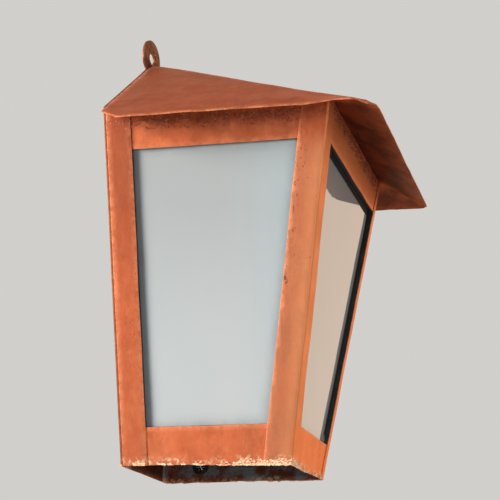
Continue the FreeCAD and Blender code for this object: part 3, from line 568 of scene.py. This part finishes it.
def roof_work(point):
    """Hand-worked roof sheet; wavy eaves, sagging left hip, front left corner bent and blunt."""
    elsewhere = Vector((11, 0, 0))
    wave_height = 22 * MM
    ragged_height = 6 * MM
    rim = 1 - eased(point.z, EAVE, EAVE + wave_height)
    wave = noise.noise(point * 40 + elsewhere) * EAVE_WAVE * rim
    wave += noise.noise(point * 240) * EAVE_RAGGED * (1 - eased(point.z, EAVE, EAVE + ragged_height))
    corner = (Vector((point.x, point.y)) + Vector((ROOF_HALF, ROOF_REACH))).length
    lift = CORNER_LIFT * rim * eased(corner, 4 * MM, 14 * MM) * (1 - eased(corner, 15 * MM, 50 * MM))
    lift *= eased(point.y / ROOF_REACH - point.x / ROOF_HALF, 0, 0.06)
    inward = Vector((ROOF_HALF, ROOF_REACH, 0)).normalized()
    blunt = inward * CORNER_BLUNT * (1 - eased(corner, 0, 9 * MM))
    return hand_work(point) + blunt + Vector((0, 0, wave + hip_sag(point) + lift))


def plate_work(point):
    """Hand-worked back plate; the left side of the eye's neck is bent back as far as its head."""
    neck = eased(point.z, ROOF_TOP - 8 * MM, ROOF_TOP - 3.5 * MM)
    neck *= 1 - min(max((point.z - NECK_FOOT) / EYE_NECK, 0), 1)
    bend = EYE_TURN * neck * eased(-point.x, 2 * MM, 13 * MM)
    return hand_work(point) + Vector((0, bend, 0))


def clean_copy(node):
    """Mesh of a node in few large faces, without doubled points."""
    work = bmesh.new()
    work.from_mesh(nodes[node].data)
    bmesh.ops.remove_doubles(work, verts=work.verts, dist=0.01 * MM)
    bmesh.ops.dissolve_limit(work, angle_limit=math.radians(1), verts=work.verts, edges=work.edges)
    return work


def sharp_edges(work, degrees):
    """Edges whose two faces turn by more than an angle."""
    return [e for e in work.edges if e.is_manifold and e.calc_face_angle() > math.radians(degrees)]


def long_folds(work):
    """Long outside folds between two broad faces."""
    shortest = 150 * MM
    broad = 1500 * MM * MM
    folds = []
    for edge in sharp_edges(work, FOLD_TURN):
        if edge.is_convex and edge.calc_length() > shortest:
            if min(face.calc_area() for face in edge.link_faces) > broad:
                folds.append(edge)
    return folds


def soften(work, node, bevel):
    """Round the long fold of a post, then take the sharpness off the other edges."""
    sharp = sharp_edges(work, SHARP_TURN)
    folds = long_folds(work)
    if node in POSTS and folds:
        fold = FRONT_FOLD if node.startswith("front") else BACK_FOLD
        bmesh.ops.bevel(work, geom=folds, offset=fold, segments=5, profile=0.5, affect="EDGES")
        sharp = sharp_edges(work, FOLD_TURN)
    bmesh.ops.bevel(work, geom=sharp, offset=bevel, segments=2, profile=0.6, affect="EDGES")


def cut_grid(work, node, grid):
    """Cut a mesh across all three axes, about one grid step apart."""
    low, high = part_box(node)
    for axis in range(3):
        normal = Vector([float(axis == i) for i in range(3)])
        count = int((high[axis] - low[axis]) / grid)
        for i in range(1, count):
            spot = normal * (low[axis] + (high[axis] - low[axis]) * i / count)
            everything = work.verts[:] + work.edges[:] + work.faces[:]
            bmesh.ops.bisect_plane(work, geom=everything, plane_co=spot, plane_no=normal, dist=0.001 * MM)


def add_layers(mesh, distance, fades):
    """Layers that fade from 1 on the edges to 0 at their reach; worn sheets also mark their inside."""
    for layer_name, fade in fades.items():
        layer = mesh.attributes.new(layer_name, "FLOAT", "POINT")
        layer.data.foreach_set("value", np.clip(1 - distance / fade, 0, 1).astype(np.float32))
    if "wear" in fades:
        inner = mesh.attributes.new("inside", "FLOAT", "FACE")
        for face, entry in zip(mesh.polygons, inner.data):
            entry.value = float(looks_in(face.center, face.normal))


def worked_copy(node, grid, bevel, fades, moved=None):
    """Finer copy of a node: softened edges, a grid of cuts, layers that fade away from the edges."""
    work = clean_copy(node)
    proud = [edge for edge in sharp_edges(work, SHARP_TURN) if edge.is_convex]
    lines = [[np.array(vertex.co) for vertex in edge.verts] for edge in proud]
    soften(work, node, bevel)
    cut_grid(work, node, grid)
    distance = line_distance(np.array([vertex.co for vertex in work.verts]), lines)
    if moved:
        for vertex in work.verts:
            vertex.co += moved(vertex.co)
    mesh = bpy.data.meshes.new(node + "_sheet")
    work.to_mesh(mesh)
    work.free()
    add_layers(mesh, distance, fades)
    mesh.shade_smooth()
    mesh.set_sharp_from_angle(angle=math.radians(35))
    mesh.materials.append(looks[slot_of[node]])
    piece = bpy.data.objects.new(node + "_worked", mesh)
    bpy.context.scene.collection.objects.link(piece)
    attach(piece, "root")
    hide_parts(node)
    return piece


wear_fade = {"wear": WEAR_REACH}
for name in POSTS + RAILS:
    worked_copy(name, SHEET_GRID, FRAME_BEVEL, wear_fade, wall_work)
worked_copy("roof", SHEET_GRID, ROOF_BEVEL, {**wear_fade, "near_edge": UNDER_RIM_REACH}, roof_work)
worked_copy("back_plate", SHEET_GRID, PLATE_BEVEL, wear_fade, plate_work)
for wall in WALLS:
    pane = worked_copy(f"{wall}_glass_pane", PANE_GRID, PANE_BEVEL, {"rim": RIM_REACH})
    if wall == "front":
        pane.data.materials[0] = opal_glass("smeared_and_shaded_glass_look", True)


def wall_spot(wall, along, level):
    """Point on a wall's outside at a share of its length and a height, with the outward normal."""
    half = FOOT_HALF + WALL_WIDENING * level
    depth = FOOT_DEPTH + WALL_SLANT * level
    if wall == "front":
        normal = Vector((0, -1, -WALL_SLANT))
        return Vector((half * (2 * along - 1), -depth, level)), normal.normalized()
    hand = -1 if wall == "left" else 1
    normal = Vector((hand, 0, -WALL_WIDENING))
    return Vector((hand * half, -depth * along, level)), normal.normalized()


def add_piece(name, work, material):
    """Turn a worked mesh into a named piece that rides on the lantern."""
    mesh = bpy.data.meshes.new(name)
    work.to_mesh(mesh)
    work.free()
    mesh.materials.append(material)
    piece = bpy.data.objects.new(name, mesh)
    bpy.context.scene.collection.objects.link(piece)
    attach(piece, "root")


def add_crumb(work, spot, normal, radius, flatness, chance, lean=math.pi, length=1.0):
    """One lump on a surface, flattened along the normal, long within a lean of level, not quite round."""
    turn = normal.to_track_quat("Z", "Y").to_matrix().to_4x4()
    spin = Matrix.Rotation(chance.uniform(-lean, lean), 4, "Z")
    shape = Matrix.Diagonal((length, chance.uniform(0.5, 1), flatness, 1))
    place = Matrix.Translation(spot) @ turn @ spin @ shape
    lump = bmesh.ops.create_icosphere(work, subdivisions=1, radius=radius, matrix=place)
    for vertex in lump["verts"]:
        away = vertex.co - spot
        vertex.co = spot + away * chance.uniform(0.6, 1.25)


def eaves_crust():
    """Crumbs of dirt and scale along the walls, up under the eaves."""
    crumbs = 460
    sunk = 0.1 * MM
    band = 8 * MM
    tops = {"left": EAVE + 6 * MM, "right": EAVE + 6 * MM, "front": EAVE + 12 * MM}
    chance = random.Random(11)
    work = bmesh.new()
    for wall, top in tops.items():
        for _ in range(crumbs):
            level = top - band * chance.random() ** 2
            spot, normal = wall_spot(wall, chance.uniform(0.01, 0.99), level)
            radius = chance.uniform(0.25, 0.7) * MM
            add_crumb(work, spot - normal * sunk, normal, radius, 0.6, chance)
    look = crumb_look("crust_look", rgb(104, 52, 37), rgb(206, 126, 90), 0.25, 0.1)
    add_piece("eaves_crust", work, look)


def foot_flakes():
    """Flakes of solder and bare metal in clusters along the lower edge, most at the front left corner."""
    tries = 1500
    lowest = 0.2 * MM
    band = 4 * MM
    chance = random.Random(23)
    work = bmesh.new()
    for wall in WALLS:
        # The wall's initial picks a row of the noise of its own
        row = ord(wall[0])
        for _ in range(tries):
            along = chance.random()
            nearness = {"left": along, "right": 0.3, "front": 0.9 - along}[wall]
            cluster = noise.noise(Vector((along * 14, row, 0)))
            share = 0.1 + 0.9 * eased(nearness, 0.6, 0.8) + 1.2 * cluster
            if chance.random() > share:
                continue
            level = lowest + band * min(share + 0.2, 1) * chance.random() ** 2.8
            spot, normal = wall_spot(wall, along, level)
            spot += wall_work(spot)
            radius = chance.uniform(0.25, 0.7) * MM
            add_crumb(work, spot, normal, radius, 0.25, chance, lean=0.5, length=1.7)
    # Solder and bare metal, the common tone painted as bright as their glint
    look = crumb_look("flake_look", rgb(255, 232, 200), rgb(236, 160, 112), 0.35, 0.2)
    add_piece("foot_flakes", work, look)


def rail_beads(work, chance):
    """Beads where the bottom rails run in behind the posts."""
    beads = 60
    sunk = 0.6 * MM
    margin = 0.5 * MM
    for wall in WALLS:
        for post_at_far_end in (False, True):
            leg = NARROW_LEG if wall == "front" and post_at_far_end else POST_LEG
            for _ in range(beads):
                level = chance.uniform(margin, RAIL_TOP - margin)
                width = (wall_spot(wall, 1, level)[0] - wall_spot(wall, 0, level)[0]).length
                along = 1 - leg / width if post_at_far_end else leg / width
                spot, normal = wall_spot(wall, along, level)
                spot += wall_work(spot) - normal * sunk
                add_crumb(work, spot, normal, chance.uniform(0.5, 0.9) * MM, 0.55, chance)


def plate_beads(work, chance):
    """Beads between the back plate and its posts."""
    beads = 420
    sunk = 0.3 * MM
    lowest = 1 * MM
    highest = EAVE + 8 * MM
    on_plate = Vector((0, -PLATE, 0))
    for wall in ("left", "right"):
        for _ in range(beads):
            level = chance.uniform(lowest, highest)
            spot, normal = wall_spot(wall, 0, level)
            spot += hand_work(spot) + on_plate - normal * sunk
            add_crumb(work, spot, normal, chance.uniform(0.4, 0.6) * MM, 0.5, chance)


def seam_beads():
    """Beads of solder in the seams."""
    chance = random.Random(31)
    work = bmesh.new()
    rail_beads(work, chance)
    plate_beads(work, chance)
    add_piece("seam_beads", work, looks["frame_copper"])


def eye_burr():
    """Torn burr at the upper right of the hanging hole."""
    crumbs = 26
    proud = 0.8 * MM
    chance = random.Random(5)
    work = bmesh.new()
    middle = Vector(EYE["pos_m"])
    normal = -Vector(EYE["axis"])
    across = normal.cross(Vector((0, 0, -1)))
    for _ in range(crumbs):
        turn = math.radians(chance.uniform(-25, 80))
        reach = chance.uniform(4.6, 8.0) * MM
        spot = middle + across * reach * math.cos(turn) + Vector((0, 0, reach * math.sin(turn)))
        radius = chance.uniform(0.4, 1.0) * MM
        add_crumb(work, spot + normal * proud, normal, radius, 0.7, chance)
    look = crumb_look("burr_look", rgb(104, 58, 42), rgb(206, 138, 106), 0.25, 0.4)
    add_piece("eye_burr", work, look)


def grommet_membrane():
    """Slit membrane that closes the cable grommet."""
    radius = 3.3 * MM
    half_thick = 0.25 * MM
    petals = 6
    rim_points = 6
    half_slit = 0.04
    tip = 0.06
    work = bmesh.new()
    low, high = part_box("cable_grommet")
    middle = (low + high) / 2
    normal = wall_spot("right", 0.5, 0)[1]
    across = Vector((0, 1, 0))
    up = normal.cross(across)
    for i in range(petals):
        turns = np.linspace(i + half_slit, i + 1 - half_slit, rim_points) * math.tau / petals
        rim = [across * math.cos(t) * radius + up * math.sin(t) * radius for t in turns]
        outline = [tip * (rim[0] + rim[-1]) / 2] + rim
        inner = [work.verts.new(middle + p - normal * half_thick) for p in outline]
        outer = [work.verts.new(middle + p + normal * half_thick) for p in outline]
        work.faces.new(outer)
        work.faces.new(list(reversed(inner)))
        for k in range(len(outline)):
            after = (k + 1) % len(outline)
            work.faces.new((inner[k], inner[after], outer[after], outer[k]))
    add_piece("grommet_membrane", work, looks["grommet_rubber"])


eaves_crust()
foot_flakes()
seam_beads()
eye_burr()
grommet_membrane()


def seen_rays(tree):
    """1 for rays that bring something into view, straight, mirrored or through glass, otherwise 0."""
    path = tree.nodes.new("ShaderNodeLightPath")
    seen = path.outputs["Is Camera Ray"]
    for kind in ("Is Glossy Ray", "Is Transmission Ray"):
        both = tree.nodes.new("ShaderNodeMath")
        both.operation = "MAXIMUM"
        tree.links.new(seen, both.inputs[0])
        tree.links.new(path.outputs[kind], both.inputs[1])
        seen = both.outputs[0]
    return seen


def stage_floor():
    """Pale floor well below the hanging lantern, brightened a little where it is seen."""
    level = -1.3
    half = 8.0
    glow = 0.2
    mesh = bpy.data.meshes.new("floor")
    corners = [(-half, -half, level), (half, -half, level), (half, half, level), (-half, half, level)]
    mesh.from_pydata(corners, [], [(0, 1, 2, 3)])
    shader = Shader("floor_look")
    cloud = shader.ramp(shader.noise(3, 3, 0.5), 0.3, 0.7)
    shader.set(Base_Color=shader.mix(cloud, (0.5, 0.5, 0.49, 1), (0.53, 0.53, 0.52, 1)), Roughness=0.8)
    seen = seen_rays(shader.tree)
    shader.set(Emission_Color=(0.8, 0.79, 0.77, 1), Emission_Strength=shader.times(seen, glow))
    mesh.materials.append(shader.material)
    floor = bpy.data.objects.new("floor", mesh)
    bpy.context.scene.collection.objects.link(floor)


def softbox(name, place, target, size, power, colour):
    """Soft square lamp that faces a point."""
    lamp = bpy.data.lights.new(name, "AREA")
    lamp.size = size
    lamp.energy = power
    lamp.color = colour
    piece = bpy.data.objects.new(name, lamp)
    piece.location = place
    piece.rotation_euler = (Vector(target) - Vector(place)).to_track_quat("-Z", "Y").to_euler()
    piece.visible_camera = False
    bpy.context.scene.collection.objects.link(piece)


def stage_light():
    """Four soft lamps: the key behind on the left, two fills, a weak orange one on the right."""
    middle = (0, -0.08, 0.15)
    low_front = (0, -0.14, 0.12)
    softbox("key_light", (-1.25, 1.7, 0.62), middle, size=1.0, power=90, colour=(1.0, 0.98, 0.96))
    softbox("front_fill", (-1.6, -1.9, 0.1), middle, size=1.6, power=15, colour=(1.0, 0.97, 0.93))
    softbox("side_panel", (1.5, -0.6, 0.36), low_front, size=1.2, power=3.6, colour=(1.0, 0.55, 0.25))
    softbox("back_fill", (1.7, 1.5, 0.9), middle, size=1.6, power=30, colour=(0.97, 0.98, 1.0))


def stage_world():
    """Grey surroundings where they are seen, a faint bluish light from all sides elsewhere."""
    world = bpy.data.worlds.new("studio")
    world.use_nodes = True
    tree = world.node_tree
    tree.nodes.clear()
    output = tree.nodes.new("ShaderNodeOutputWorld")
    shown = tree.nodes.new("ShaderNodeBackground")
    shown.inputs["Color"].default_value = (0.64, 0.625, 0.6, 1)
    lit = tree.nodes.new("ShaderNodeBackground")
    lit.inputs["Color"].default_value = (0.9, 0.95, 1.0, 1)
    lit.inputs["Strength"].default_value = 0.26
    mix = tree.nodes.new("ShaderNodeMixShader")
    tree.links.new(seen_rays(tree), mix.inputs[0])
    tree.links.new(lit.outputs[0], mix.inputs[1])
    tree.links.new(shown.outputs[0], mix.inputs[2])
    tree.links.new(mix.outputs[0], output.inputs["Surface"])
    bpy.context.scene.world = world


def stage_camera():
    """Camera below the lantern's left side, looking up, fitted to the photograph."""
    place = (-1.2280, -0.3501, -0.1370)
    forward = Vector((0.94963, 0.21055, 0.23212)).normalized()
    data = bpy.data.cameras.new("camera")
    data.sensor_width = 36
    data.lens = 126.9
    data.clip_start = 0.05
    camera = bpy.data.objects.new("camera", data)
    camera.location = place
    camera.rotation_euler = forward.to_track_quat("-Z", "Y").to_euler()
    bpy.context.scene.collection.objects.link(camera)
    bpy.context.scene.camera = camera


stage_floor()
stage_light()
stage_world()
stage_camera()
bpy.context.scene.view_settings.view_transform = "Standard"
